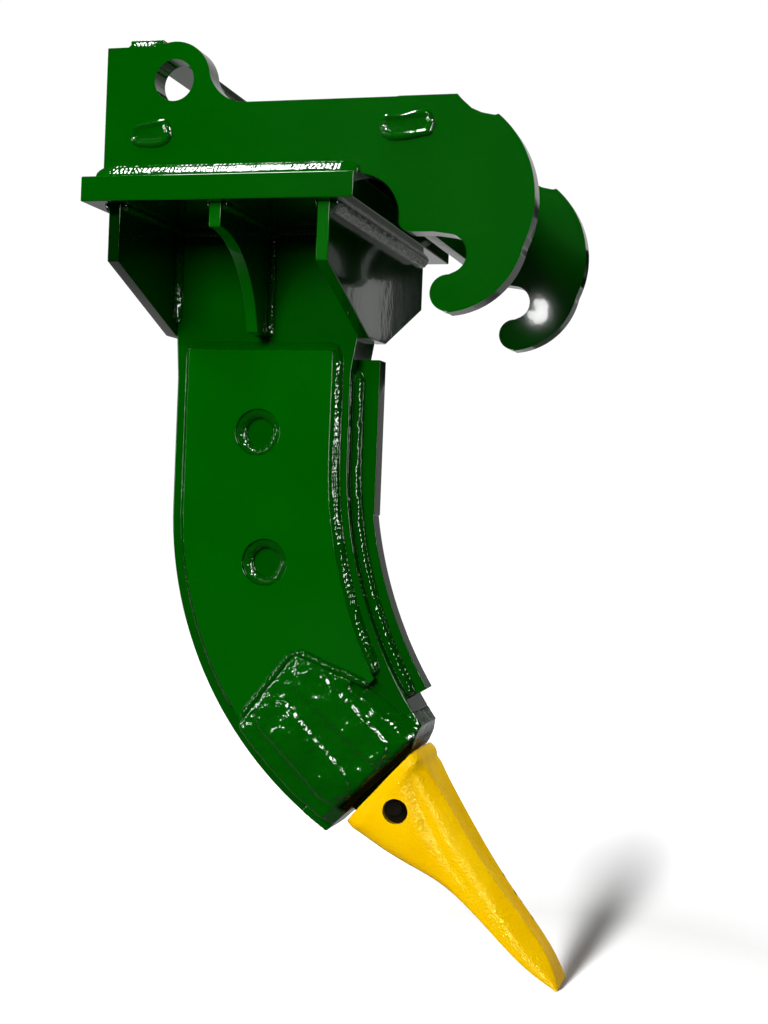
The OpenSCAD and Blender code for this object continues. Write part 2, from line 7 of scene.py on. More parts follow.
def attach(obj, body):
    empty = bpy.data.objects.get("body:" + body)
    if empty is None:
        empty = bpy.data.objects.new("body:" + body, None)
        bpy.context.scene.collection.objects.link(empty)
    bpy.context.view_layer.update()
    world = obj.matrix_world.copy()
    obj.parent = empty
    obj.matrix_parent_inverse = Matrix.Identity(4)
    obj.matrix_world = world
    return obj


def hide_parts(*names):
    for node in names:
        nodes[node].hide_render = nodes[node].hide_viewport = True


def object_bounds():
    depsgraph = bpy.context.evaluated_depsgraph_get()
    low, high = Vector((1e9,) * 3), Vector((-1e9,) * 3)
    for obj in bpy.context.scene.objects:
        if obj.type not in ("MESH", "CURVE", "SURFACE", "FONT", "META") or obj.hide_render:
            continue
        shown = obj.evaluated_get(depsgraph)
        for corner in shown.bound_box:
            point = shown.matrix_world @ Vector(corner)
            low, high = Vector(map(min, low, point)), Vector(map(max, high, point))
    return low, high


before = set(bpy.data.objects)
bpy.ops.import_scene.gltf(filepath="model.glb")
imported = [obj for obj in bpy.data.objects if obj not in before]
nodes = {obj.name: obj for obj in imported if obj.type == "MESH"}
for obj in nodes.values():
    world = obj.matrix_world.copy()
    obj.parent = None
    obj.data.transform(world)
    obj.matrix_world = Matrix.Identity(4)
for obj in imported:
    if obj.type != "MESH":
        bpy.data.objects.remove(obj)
cad_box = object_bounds()


# Shank: one thick curved plate, flame-cut from wear-resistant steel and sprayed with gloss enamel.
# The base plate is welded over its top end and the adapter straddles its lower end.
# Enamel over plate gives a deep even colour, a clear gloss and a fine orange-peel in the reflections.
def linear(code):
    """sRGB hex colour to the linear colour that a shader socket takes."""
    parts = [int(code[i:i + 2], 16) / 255 for i in (1, 3, 5)]
    return [p / 12.92 if p <= 0.04045 else ((p + 0.055) / 1.055) ** 2.4 for p in parts] + [1.0]


def add_node(tree, kind, settings=None, **links):
    """Adds a shader node; settings are its properties or input values, links come from other sockets."""
    made = tree.nodes.new(kind)
    for key, value in (settings or {}).items():
        if isinstance(key, str) and hasattr(made, key):
            setattr(made, key, value)
        else:
            made.inputs[key].default_value = value
    for key, socket in links.items():
        slot = int(key[1:]) if key[1:].isdigit() else key.replace("_", " ")
        tree.links.new(socket, made.inputs[slot])
    return made


def new_material(name):
    """An empty node material with a Principled shader, returned with its tree and shader."""
    made = bpy.data.materials.new(name)
    made.use_nodes = True
    return made, made.node_tree, made.node_tree.nodes["Principled BSDF"]


def enamel(name, colour, thin_colour, roughness, peel_mm, peel_depth_mm, flow_depth_mm, gloss):
    """Sprayed gloss enamel: a slow change of colour where the coat is thin, orange-peel, flow marks."""
    made, tree, shader = new_material(name)
    shader.inputs["Coat Weight"].default_value = gloss
    shader.inputs["Coat Roughness"].default_value = 0.04
    shader.inputs["Coat IOR"].default_value = 1.6
    place = add_node(tree, "ShaderNodeTexCoord").outputs["Object"]
    cloud = add_node(tree, "ShaderNodeTexNoise", {"Scale": 1 / 0.11, "Detail": 3.0}, Vector=place)
    tone = add_node(tree, "ShaderNodeValToRGB", {}, Fac=cloud.outputs["Fac"])
    tone.color_ramp.elements[0].position = 0.35
    tone.color_ramp.elements[0].color = linear(thin_colour)
    tone.color_ramp.elements[1].position = 0.65
    tone.color_ramp.elements[1].color = linear(colour)
    tree.links.new(tone.outputs["Color"], shader.inputs["Base Color"])
    dulling = add_node(tree, "ShaderNodeMapRange",
                       {"To Min": roughness * 0.8, "To Max": roughness * 1.4},
                       Value=cloud.outputs["Fac"])
    tree.links.new(dulling.outputs["Result"], shader.inputs["Roughness"])
    flow = add_node(tree, "ShaderNodeTexNoise", {"Scale": 1 / 0.030, "Detail": 2.0}, Vector=place)
    peel = add_node(tree, "ShaderNodeTexNoise", {"Scale": 1000 / peel_mm, "Detail": 2.0}, Vector=place)
    sag = add_node(tree, "ShaderNodeBump", {"Strength": 1.0, "Distance": flow_depth_mm / 1000},
                   Height=flow.outputs["Fac"])
    skin = add_node(tree, "ShaderNodeBump", {"Strength": 1.0, "Distance": peel_depth_mm / 1000},
                    Height=peel.outputs["Fac"], Normal=sag.outputs["Normal"])
    tree.links.new(skin.outputs["Normal"], shader.inputs["Normal"])
    tree.links.new(skin.outputs["Normal"], shader.inputs["Coat Normal"])
    return made


def deselect():
    """Leaves nothing selected, so that the next operator acts on the new piece alone."""
    if bpy.context.mode != "OBJECT":
        bpy.ops.object.mode_set(mode="OBJECT")
    bpy.ops.object.select_all(action="DESELECT")


def take(piece):
    """Makes a piece the only selected and active object."""
    deselect()
    piece.select_set(True)
    bpy.context.view_layer.objects.active = piece


def apply_modifier(piece, kind, **settings):
    """Adds a modifier, sets it and applies it."""
    take(piece)
    added = piece.modifiers.new(kind.lower(), kind)
    for key, value in settings.items():
        setattr(added, key, value)
    bpy.ops.object.modifier_apply(modifier=added.name)


def own_copy(node, name):
    """A merged copy of a CAD node's mesh as a new piece at the origin."""
    piece = bpy.data.objects.new(name, nodes[node].data.copy())
    bpy.context.scene.collection.objects.link(piece)
    piece.data.materials.clear()
    take(piece)
    bpy.ops.object.mode_set(mode="EDIT")
    bpy.ops.mesh.select_all(action="SELECT")
    bpy.ops.mesh.remove_doubles(threshold=0.00002)
    bpy.ops.mesh.dissolve_limited(angle_limit=math.radians(0.6))
    bpy.ops.object.mode_set(mode="OBJECT")
    return piece


def finish_piece(piece, material, slot, *stands_for):
    """Gives a piece its finish and ties it to the frame in place of the CAD nodes it stands for."""
    piece.data.materials.clear()
    piece.data.materials.append(material)
    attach(piece, "root")
    if stands_for:
        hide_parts(*stands_for)


def cut_plate(node, edge_mm=1.4):
    """A flame-cut plate: the CAD shape with its edges dressed round by grinding and paint."""
    piece = own_copy(node, node + "_painted")
    apply_modifier(piece, "BEVEL", width=edge_mm / 1000, segments=2, limit_method="ANGLE",
                   angle_limit=math.radians(35))
    bpy.ops.object.shade_smooth_by_angle(angle=math.radians(50))
    apply_modifier(piece, "WEIGHTED_NORMAL", weight=100, keep_sharp=True)
    finish_piece(piece, gloss_green, "green_paint", node)
    return piece


gloss_green = enamel("gloss_enamel_green_on_plate", "#005a00", "#005600", 0.10, 9.0, 0.03, 0.12, 0.5)
cut_plate("shank", 2.5)
SHANK_HALF = 40.0
FRONT_CENTRE = (741.9, -439.4)
FRONT_RADIUS = 561.4
BACK_CENTRE = (424.5, -508.0)
BACK_RADIUS = 482.5

# Cheek plates: thin doublers of the same steel on both sides of the shank.
# Each is welded all round and through two round holes; the beads are several passes of wire weld,
# rippled, sprayed over with the same enamel and so full of small highlights.


def sample(frames, along):
    """The bead's root and its two leg directions at a distance along the path."""
    for first, second in zip(frames, frames[1:]):
        step = (second[0] - first[0]).length
        if along <= step or second is frames[-1]:
            part = min(along / step, 1.0)
            return [a.lerp(b, part) for a, b in zip(first, second)]
        along -= step


def bead(name, frames, leg_a, leg_b, bulge=0.25, passes=1, pitch=6.0, ripple=0.5, closed=False):
    """A fillet of weld metal along a path of (root, leg direction, leg direction), sizes in mm."""
    frames = [tuple(Vector(v) for v in row) for row in frames]
    length = sum((b[0] - a[0]).length for a, b in zip(frames, frames[1:]))
    columns = 6 + 4 * passes
    deselect()
    bpy.ops.mesh.primitive_grid_add(x_subdivisions=max(8, int(length / pitch * 4)),
                                    y_subdivisions=columns, size=1)
    piece = bpy.context.object
    piece.name = name
    seed = Vector((len(name) * 7.3, length, leg_a))
    stations = {}
    for vertex in piece.data.vertices:
        along = (vertex.co.x + 0.5) * length
        column = round((vertex.co.y + 0.5) * columns)
        mark = round(along, 3)
        if mark not in stations:
            root, a, b = sample(frames, along)
            a.normalize()
            b.normalize()
            stations[mark] = (root, a, b, (a + b).normalized())
        root, a, b, out = stations[mark]
        if column in (0, columns):
            vertex.co = (root - out * 1.0) / 1000
            continue
        t = (column - 1) / (columns - 2)
        swell = 1.0
        if not closed:
            swell = 0.55 + 0.45 * math.sqrt(min(1.0, min(along, length - along) / leg_a))
        lane = (t * passes) % 1.0
        crown = 4 * t * (1 - t)
        spot = Vector((along / (3 * pitch), t * 2 * passes, 0)) + seed
        lump = noise.noise(spot) + 0.7 * noise.noise(spot * 2.3) + 0.5 * noise.noise(spot * 5.1)
        wave = 0.60 * math.sin(2 * math.pi * along / pitch + 3.0 * (2 * lane - 1) ** 2 + 3 * lump)
        rise = bulge * leg_a * crown + ripple * (wave + 1.3 * lump) * math.sqrt(crown)
        rise += (passes - 1) * 0.35 * math.sin(math.pi * lane) * math.sqrt(crown)
        vertex.co = (root + swell * (a * leg_a * (1 - t) + b * leg_b * t + out * rise)
                     - out * 0.5 * (1 - crown)) / 1000
    bpy.ops.object.mode_set(mode="EDIT")
    bpy.ops.mesh.select_all(action="SELECT")
    bpy.ops.mesh.remove_doubles(threshold=0.00001)
    bpy.ops.mesh.fill_holes(sides=0)
    bpy.ops.mesh.select_all(action="SELECT")
    bpy.ops.mesh.normals_make_consistent(inside=False)
    bpy.ops.object.mode_set(mode="OBJECT")
    bpy.ops.object.shade_smooth()
    return piece


def joined(name, pieces):
    """Joins beads to one piece."""
    take(pieces[0])
    for piece in pieces:
        piece.select_set(True)
    bpy.ops.object.join()
    pieces[0].name = name
    pieces[0].data.name = name
    return pieces[0]


def arc_frames(centre, radius, start, sweep, y, leg_a, leg_b):
    """Bead frames down a curved edge in X and Z; leg_a counts outward from the arc's centre."""
    rows = []
    for i in range(25):
        angle = math.radians(start + sweep * i / 24)
        ray = Vector((math.cos(angle), 0, math.sin(angle)))
        root = Vector((centre[0], y, centre[1])) + ray * radius
        rows.append((root, ray * leg_a, leg_b))
    return rows


weld_green = enamel("gloss_enamel_green_on_weld", "#005600", "#004e00", 0.10, 7.0, 0.25, 0.50, 1.0)
CHEEK_T = 12.0
CHEEK_TOP = -304.0
CHEEK_FRONT = 158.9
CHEEK_REAR = -38.0
CHEEK_FRONT_IN = 21.6
CHEEK_REAR_IN = 20.0
PLUGS = ((61.0, -410.5), (77.0, -578.0))
PLUG_R = 30.0
for side in ("left", "right"):
    cut_plate("cheek_plate_" + side, 1.2)
beads = []
rings = []
for hand in (-1, 1):
    face = hand * SHANK_HALF
    outward = (0, hand, 0)
    front = [((CHEEK_FRONT, face, CHEEK_TOP), (1, 0, 0), outward)]
    front += arc_frames(FRONT_CENTRE, FRONT_RADIUS + CHEEK_FRONT_IN, 180, 28, face, -1, outward)
    beads.append(bead("cheek_front_bead", front, 13, CHEEK_T, 0.10, 2, 7.0, 0.55))
    rear = [((CHEEK_REAR, face, CHEEK_TOP), (-1, 0, 0), outward)]
    rear += arc_frames(BACK_CENTRE, BACK_RADIUS - CHEEK_REAR_IN, 180, 34, face, 1, outward)
    beads.append(bead("cheek_rear_bead", rear, 9, 9, 0.12, 1, 6.0, 0.35))
    top = [((CHEEK_REAR - 6, face, CHEEK_TOP), (0, 0, 1), outward),
           ((CHEEK_FRONT + 6, face, CHEEK_TOP), (0, 0, 1), outward)]
    beads.append(bead("cheek_top_bead", top, 12, CHEEK_T, 0.05, 1, 7.0, 0.25))
    for x, z in PLUGS:
        ring = []
        for i in range(49):
            angle = math.radians(i * 7.5)
            ray = Vector((math.cos(angle), 0, math.sin(angle)))
            ring.append((Vector((x, face, z)) + ray * PLUG_R, -ray, outward))
        rings.append(bead("plug_ring_bead", ring, 13, 9, 0.22, 1, 9.0, 0.8, True))
finish_piece(joined("cheek_beads", beads), weld_green, "green_weld", "cheek_fillet_welds")
finish_piece(joined("cheek_plug_beads", rings), weld_green, "green_weld", "cheek_plug_welds")

# Shin plate: a narrow curved plate standing on the shank's hollow front edge to take the wear.
# One bead down each side holds it.
SHIN_HALF = 14.0
SHIN_TOP = -326.0
SHANK_FRONT = 180.5
cut_plate("shin_plate", 1.5)
beads = []
for hand in (-1, 1):
    outward = (0, hand, 0)
    path = [((SHANK_FRONT, hand * SHIN_HALF, SHIN_TOP), (1, 0, 0), outward)]
    path += arc_frames(FRONT_CENTRE, FRONT_RADIUS, 180, 32.5, hand * SHIN_HALF, -1, outward)
    beads.append(bead("shin_bead", path, 13, 13, 0.22, 1, 7.0, 0.6))
finish_piece(joined("shin_beads", beads), weld_green, "green_weld", "shin_fillet_welds")

# Base plate and the plates under it: flat plate, welded under the hook plates and round the shank.
# Two transverse plates with cut corners close the ends and a hollow-edged gusset stands in each bay.
BASE_BOTTOM = -148.0
REAR_FACES = (-76.5, -61.5)
FRONT_FACES = (188.0, 203.0)
MID_FACES = (53.0, 68.0)
GUSSET_BOTTOM = -286.0
PLATE_REACH = 218.0
END_WELD_SHORT = 16.0
for node in ("base_plate", "rear_transverse_plate", "front_transverse_plate", "mid_gusset_left",
             "mid_gusset_right"):
    cut_plate(node, 1.4)
down = (0, 0, -1)
beads = []
for x, way in ((REAR_FACES[0], -1), (FRONT_FACES[1], 1)):
    path = [((x, y, BASE_BOTTOM), (way, 0, 0), down) for y in (-PLATE_REACH, PLATE_REACH)]
    beads.append(bead("transverse_bead", path, 12, 12, 0.15, 2, 6.0, 0.6))
for hand in (-1, 1):
    outward = (0, hand, 0)
    for x, way in ((REAR_FACES[1], 1), (FRONT_FACES[0], -1), (MID_FACES[0], -1), (MID_FACES[1], 1)):
        path = [((x, hand * y, BASE_BOTTOM), (way, 0, 0), down) for y in (SHANK_HALF, PLATE_REACH)]
        beads.append(bead("bay_top_bead", path, 8, 8, 0.2, 1, 6.0, 0.5))
        low_end = GUSSET_BOTTOM
        if x in (REAR_FACES[1], FRONT_FACES[0]):
            low_end += END_WELD_SHORT
        path = [((x, hand * SHANK_HALF, z), (way, 0, 0), outward) for z in (BASE_BOTTOM, low_end)]
        beads.append(bead("bay_upright_bead", path, 8, 8, 0.2, 1, 6.0, 0.6))
    for x0, x1 in ((REAR_FACES[1], MID_FACES[0]), (MID_FACES[1], FRONT_FACES[0])):
        path = [((x, hand * SHANK_HALF, BASE_BOTTOM), outward, down) for x in (x0, x1)]
        beads.append(bead("shank_top_bead", path, 10, 10, 0.2, 1, 6.0, 0.5))
finish_piece(joined("gusset_beads", beads), weld_green, "green_weld", "gusset_welds")

# Hook plates: two thick flame-cut plates with the rear eye and the open hook.
# A heavy fillet of three passes joins each to the base plate outside, a lighter one inside.
HOOK_FACES = (187.0, 217.0)
BASE_TOP = -118.0
HOOK_REAR = -88.0
BASE_FRONT = 236.0
for side in ("left", "right"):
    cut_plate("hook_plate_" + side, 2.0)
up = (0, 0, 1)
beads = []
for hand in (-1, 1):
    path = [((x, hand * HOOK_FACES[1], BASE_TOP), (0, hand, 0), up) for x in (HOOK_REAR - 6, BASE_FRONT)]
    beads.append(bead("hook_outer_bead", path, 18, 18, 0.10, 3, 5.0, 0.35))
    path = [((x, hand * HOOK_FACES[0], BASE_TOP), (0, -hand, 0), up) for x in (HOOK_REAR, BASE_FRONT)]
    beads.append(bead("hook_inner_bead", path, 12, 12, 0.15, 2, 6.0, 0.4))
    path = [((HOOK_REAR, hand * y, BASE_TOP), (-1, 0, 0), up) for y in HOOK_FACES]
    beads.append(bead("hook_rear_bead", path, 10, 10, 0.2, 1, 6.0, 0.4))
finish_piece(joined("hook_beads", beads), weld_green, "green_weld", "hook_fillet_welds")

# Cross members between the hook plates: a flat bar on top, a tenoned deck plate and a front plate.
# The deck's tenons end in the hook plates' slots under a lumpy puddle of weld.
for node in ("top_tie_bar", "deck_plate", "front_cross_plate"):
    cut_plate(node, 1.2)
TIE_X = -63.0
TIE_FRONT = -20.0
TIE_END = 207.0
HEAD_Z = 41.5
beads = []
for hand in (-1, 1):
    path = [((TIE_X, hand * y, HEAD_Z), (-1, 0, 0), up) for y in (HOOK_FACES[0], TIE_END)]
    beads.append(bead("tie_rear_bead", path, 8, 8, 0.15, 1, 5.0, 0.4))
    path = [((x, hand * TIE_END, HEAD_Z), (0, hand, 0), up) for x in (TIE_X, TIE_FRONT)]
    beads.append(bead("tie_end_bead", path, 8, 8, 0.2, 1, 5.0, 0.7))
    path = [((x, hand * HOOK_FACES[0], HEAD_Z), (0, -hand, 0), down) for x in (TIE_X + 2, TIE_FRONT - 2)]
    beads.append(bead("tie_inner_bead", path, 7, 7, 0.15, 1, 5.0, 0.4))
finish_piece(joined("tie_bar_beads", beads), weld_green, "green_weld", "tie_bar_welds")


def puddle(name, x, z, half_length, radius, height, hand):
    """A weld puddle over a slot: a raised rim round a slightly sunk middle, on the plate's outside."""
    deselect()
    bpy.ops.mesh.primitive_grid_add(x_subdivisions=72, y_subdivisions=14, size=1)
    piece = bpy.context.object
    piece.name = name
    for vertex in piece.data.vertices:
        angle = 2 * math.pi * (vertex.co.x + 0.5)
        part = vertex.co.y + 0.5
        ray = Vector((math.cos(angle), 0, math.sin(angle)))
        middle = Vector((max(-1, min(1, 3 * ray.x)) * half_length, 0, 0))
        wander = 1 + 0.18 * noise.noise(ray * 1.7 + Vector((x / 50, 0, 3)))
        flat = middle + ray * radius * part * wander
        dip = 1.9 * max(0.0, ray.z) * part * math.exp(-((flat.x + 5) / 9) ** 2)
        flat.z += 0.05 * flat.x - dip
        crest = max(0.0, 1 - abs(part - 0.72) / 0.30)
        lift = height * crest ** 0.6
        if part < 0.72:
            lift = height * (0.45 + 0.55 * crest ** 0.7)
        lift += (0.35 * noise.noise(flat / 9) + 0.12 * noise.noise(flat / 4)) * (part < 0.95)
        if part > 0.99:
            lift = -1.0
        vertex.co = Vector((x + flat.x, hand * (HOOK_FACES[1] + lift), z + flat.z)) / 1000
    bpy.ops.object.mode_set(mode="EDIT")
    bpy.ops.mesh.select_all(action="SELECT")
    bpy.ops.mesh.remove_doubles(threshold=0.00001)
    bpy.ops.mesh.fill_holes(sides=0)
    bpy.ops.mesh.select_all(action="SELECT")
    bpy.ops.mesh.normals_make_consistent(inside=False)
    bpy.ops.object.mode_set(mode="OBJECT")
    bpy.ops.object.shade_smooth()
    return piece


puddles = []
for hand in (-1, 1):
    puddles.append(puddle("rear_tenon_puddle", -27, -63.5, 11, 17, 4.0, hand))
    puddles.append(puddle("front_tenon_puddle", 291, -62.5, 17, 17, 5.5, hand))
finish_piece(joined("tenon_puddles", puddles), weld_green, "green_weld", "tenon_plug_welds")

# Adapter: a rough steel casting whose two straps straddle the shank, with two raised fingers on each.
# It is welded to the cheek plates along its pointed rear edges and carries the nose for the tooth.
TOOTH_PLACE = (244.0, -859.0)
TOOTH_PITCH = math.radians(45.6)
AXIS = Vector((math.cos(TOOTH_PITCH), 0, -math.sin(TOOTH_PITCH)))
ACROSS = Vector((math.sin(TOOTH_PITCH), 0, math.cos(TOOTH_PITCH)))
ORIGIN = Vector((TOOTH_PLACE[0], 0, TOOTH_PLACE[1]))
STRAP_OUT = 60.0
STRAP_POINT = (-203, 32)
STRAP_CORNERS = ((-110, 75), (-187, -78))
CROTCH_END = -44.0


def in_tooth_frame(s, y, n):
    """A point given along the tooth, across it and upwards from it, in metres of the part's frame."""
    return (ORIGIN + AXIS * s + ACROSS * n + Vector((0, y, 0))) / 1000


rough_green = enamel("gloss_enamel_green_on_casting", "#005600", "#004c00", 0.10, 6.0, 0.75, 1.6, 1.0)
tree = rough_green.node_tree
shader = tree.nodes["Principled BSDF"]
# Painted shade: the adapter's nose beyond the strap ends shows only in the narrow gap under the tooth's
# rim. It is coloured near-black there and loses its coat and most of its gloss.
place = add_node(tree, "ShaderNodeTexCoord").outputs["Object"]
along = add_node(tree, "ShaderNodeVectorMath", {"operation": "DOT_PRODUCT", 1: tuple(AXIS)}, _0=place)
upward = add_node(tree, "ShaderNodeVectorMath", {"operation": "DOT_PRODUCT", 1: tuple(ACROSS)}, _0=place)
front = add_node(tree, "ShaderNodeMapRange", {"From Min": (ORIGIN.dot(AXIS) - 26) / 1000,
                                              "From Max": (ORIGIN.dot(AXIS) - 19) / 1000},
                 Value=along.outputs["Value"])
above = add_node(tree, "ShaderNodeMapRange", {"From Min": (ORIGIN.dot(ACROSS) - 60) / 1000,
                                              "From Max": (ORIGIN.dot(ACROSS) - 54) / 1000},
                 Value=upward.outputs["Value"])
nose_gap_shade = add_node(tree, "ShaderNodeMath", {"operation": "MULTIPLY"}, _0=front.outputs["Result"],
                _1=above.outputs["Result"]).outputs["Value"]
paint = shader.inputs["Base Color"].links[0].from_socket
skin = add_node(tree, "ShaderNodeMix", {"data_type": "RGBA"}, _0=nose_gap_shade, _6=paint)
skin.inputs[7].default_value = linear("#010601")
tree.links.new(skin.outputs[2], shader.inputs["Base Color"])
# the painted shade in the nose gap also takes away the coat and most of the specular gloss
for socket, painted, in_nose_shade in (("Coat Weight", 1.0, 0.0), ("Specular IOR Level", 0.5, 0.05)):
    shine = add_node(tree, "ShaderNodeMapRange", {"To Min": painted, "To Max": in_nose_shade}, Value=nose_gap_shade)
    tree.links.new(shine.outputs["Result"], shader.inputs[socket])
adapter = own_copy("adapter", "adapter_casting")
apply_modifier(adapter, "REMESH", mode="VOXEL", voxel_size=0.0022, use_smooth_shade=True)
faces = adapter.vertex_groups.new(name="strap_faces")
for vertex in adapter.data.vertices:
    nearness = (abs(vertex.co.y) * 1000 - STRAP_OUT + 9) / 6
    faces.add([vertex.index], max(0.0, min(1.0, nearness)), "REPLACE")
apply_modifier(adapter, "SMOOTH", factor=0.5, iterations=2)
apply_modifier(adapter, "SMOOTH", factor=0.5, iterations=26, vertex_group="strap_faces")
facing = [vertex.normal.copy() for vertex in adapter.data.vertices]
for vertex in adapter.data.vertices:
    here = vertex.co * 1000
    s = (here - ORIGIN).dot(AXIS)
    outer = max(0.0, min(1.0, (abs(here.y) - STRAP_OUT + 6) / 4))
    rough = max(0.25, outer) * (s < -4)
    lump = 2.0 * noise.noise(here / 30) + 0.9 * noise.noise(here / 10) + 0.50 * noise.noise(here / 5)
    vertex.co += facing[vertex.index] * rough * lump / 1000
    if s < CROTCH_END and abs(here.y) < SHANK_HALF + 1:
        vertex.co -= AXIS * 0.003
finish_piece(adapter, rough_green, "green_cast", "adapter")

beads = []
for hand in (-1, 1):
    face = hand * (SHANK_HALF + CHEEK_T)
    outward = (0, hand, 0)
    tip = in_tooth_frame(STRAP_POINT[0], face, STRAP_POINT[1]) * 1000
    for s, n in STRAP_CORNERS:
        end = in_tooth_frame(s, face, n) * 1000
        run = (end - tip).normalized()
        away = run.cross(Vector((0, 1, 0)))
        if away.dot(AXIS) > 0:
            away = -away
        path = [(tip, away, outward), (end, away, outward)]
        beads.append(bead("strap_bead", path, 9, 8, 0.3, 1, 7.0, 0.9))
finish_piece(joined("adapter_beads", beads), weld_green, "green_weld", "adapter_welds")

# Tooth tip: cast alloy steel with a thick back rim, side ribs, a hollow top and a chisel end.
# It is sprayed with yellow enamel, slips over the adapter's nose and is held by the pin.
TOOTH_RINGS = (
    (-2, 67, (46, 67), (55, 60), (57, 49), (58, 37), (57, -46), (49, -65), -66),
    (9, 68, (45, 69), (56, 61), (58, 49), (59, 36), (58, -46), (49, -66), -67),
    (15, 60, (40, 65), (52, 51), (53, 42), (58, 31), (57, -44), (48, -64), -65),
    (30, 54, (35, 60), (51, 43), (47, 33), (57, 22), (55, -32), (47, -61), -63),
    (60, 44, (31, 53), (49, 33), (43.5, 21), (54, 9), (51, -19), (43, -54), -57),
    (95, 36, (29, 46), (47, 25), (42, 12), (49, 0), (47, -9), (39, -41), -45),
    (130, 30, (28, 39), (45, 17), (41.5, 7), (45, -4), (43, -14), (35, -26), -28),
    (166, 25, (26, 33), (42, 15), (41, 5), (43, -7), (41, -13), (33, -18), -18),
    (211, 22, (22, 28), (39, 12), (40, 3), (41, -7), (39, -12), (31, -14.5), -14.5),
    (258, 21, (18, 25), (37, 6), (38, 1), (39, -6), (38, -11), (29, -12), -12),
    (290, 18, (20, 19.5), (34, 6), (35, 2), (37, -3), (36, -7), (29, -8), -8),
    (314, 9.5, (27, 10), (32, 6.5), (34, 4.5), (35, 1.5), (34, -0.5), (29, -1.5), -1.5),
    (325, 5.5, (28, 6), (31, 5.5), (33, 4.5), (34, 3), (33, 2), (29, 1), 1),
)
SOCKET_RINGS = ((-2, 49, 39), (60, 33, 34), (104, 22, 28))
PIN_PLACE = (31, 0, -1)
PIN_HOLE_R = 16.0
SCUFFS = ((180, 25, 32, 2.2), (206, 23, 29, 2.6), (219, 22, 28, 1.8), (243, 20, 26.5, 2.4))


def place_ring(mesh_edit, row):
    """Puts the selected ring of points on a cross-section of the tooth; the ring keeps its order."""
    s, crown, *half, keel = row
    half = list(half)
    outline = [(0, crown)] + half + [(0, keel)] + [(-y, n) for y, n in reversed(half)]
    for vertex in mesh_edit.verts:
        if vertex.select:
            y, n = outline[vertex[order]]
            lean = 0.07 * (n + 52) * max(0.0, 1 - s / 60)
            vertex.co = in_tooth_frame(s - lean, y, n)


deselect()
bpy.ops.mesh.primitive_circle_add(vertices=14, radius=0.06, fill_type="NOTHING")
tooth = bpy.context.object
tooth.name = "tooth_casting"
bpy.ops.object.mode_set(mode="EDIT")
edit = bmesh.from_edit_mesh(tooth.data)
order = edit.verts.layers.int.new("order")
edit.verts.ensure_lookup_table()
for i in range(14):
    edit.verts[i][order] = i
bpy.ops.mesh.select_all(action="SELECT")
place_ring(edit, TOOTH_RINGS[0])
for row in TOOTH_RINGS[1:]:
    bpy.ops.mesh.extrude_region_move()
    edit = bmesh.from_edit_mesh(tooth.data)
    order = edit.verts.layers.int["order"]
    place_ring(edit, row)
bpy.ops.mesh.edge_face_add()
bpy.ops.mesh.select_all(action="DESELECT")
edit = bmesh.from_edit_mesh(tooth.data)
for vertex in edit.verts:
    vertex.select = (vertex.co * 1000 - ORIGIN).dot(AXIS) < 0
edit.select_flush(True)
for edge in edit.edges:
    edge.select = all(v.select for v in edge.verts)
bmesh.update_edit_mesh(tooth.data)
for s, tall, wide in SOCKET_RINGS:
    bpy.ops.mesh.extrude_region_move()
    edit = bmesh.from_edit_mesh(tooth.data)
    order = edit.verts.layers.int["order"]
    corner = ((wide, tall), (wide, tall * 0.9), (wide, tall * 0.5), (wide, 0), (wide, -tall * 0.6),
              (wide, -tall))
    place_ring(edit, (s, tall) + corner + (-tall,))
bpy.ops.mesh.edge_face_add()
bpy.ops.mesh.select_all(action="SELECT")
bpy.ops.mesh.normals_make_consistent(inside=False)
edit = bmesh.from_edit_mesh(tooth.data)
order = edit.verts.layers.int["order"]
firm = edit.edges.layers.float.new("crease_edge")
for edge in edit.edges:
    along = [(v.co * 1000 - ORIGIN).dot(AXIS) for v in edge.verts]
    ranks = {v[order] for v in edge.verts}
    if max(along) < 0.5:
        edge[firm] = 0.85
    elif abs(along[0] - along[1]) < 0.1 and max(along) > 324:
        edge[firm] = 0.75
    elif min(along) > 8 and ranks <= {1, 13} and len(ranks) == 1:
        edge[firm] = 0.7
    elif min(along) > 8 and ranks <= {5, 9} and len(ranks) == 1:
        edge[firm] = 0.3
bmesh.update_edit_mesh(tooth.data)
bpy.ops.object.mode_set(mode="OBJECT")
apply_modifier(tooth, "SUBSURF", levels=3, render_levels=3)
deselect()
bpy.ops.mesh.primitive_cylinder_add(vertices=64, radius=PIN_HOLE_R / 1000, depth=0.24,
                                    location=in_tooth_frame(*PIN_PLACE), rotation=(math.pi / 2, 0, 0))
drill = bpy.context.object
apply_modifier(tooth, "BOOLEAN", operation="DIFFERENCE", object=drill, solver="EXACT")
bpy.data.objects.remove(drill)
take(tooth)
bpy.ops.object.shade_smooth_by_angle(angle=math.radians(40))
yellow = enamel("yellow_enamel_on_casting", "#ffcd00", "#f9c100", 0.14, 3.2, 1.3, 1.2, 0.0)
tree = yellow.node_tree
shader = tree.nodes["Principled BSDF"]
shader.inputs["Specular IOR Level"].default_value = 0.12
place = add_node(tree, "ShaderNodeTexCoord").outputs["Object"]
colour = shader.inputs["Base Color"].links[0].from_socket
for s, y, n, size in SCUFFS:
    spot = in_tooth_frame(s, y, n)
    away = add_node(tree, "ShaderNodeVectorMath", {"operation": "DISTANCE", 1: tuple(spot)}, _0=place)
    scuff = add_node(tree, "ShaderNodeMapRange", {"From Min": size / 1000, "From Max": 2.2 * size / 1000,
                                                  "To Min": 0.85, "To Max": 0.0},
                     Value=away.outputs["Value"])
    worn = add_node(tree, "ShaderNodeMix", {"data_type": "RGBA"}, _0=scuff.outputs["Result"], _6=colour)
    worn.inputs[7].default_value = linear("#1c1608")
    colour = worn.outputs[2]
tree.links.new(colour, shader.inputs["Base Color"])
finish_piece(tooth, yellow, "yellow_cast", "tooth_tip")

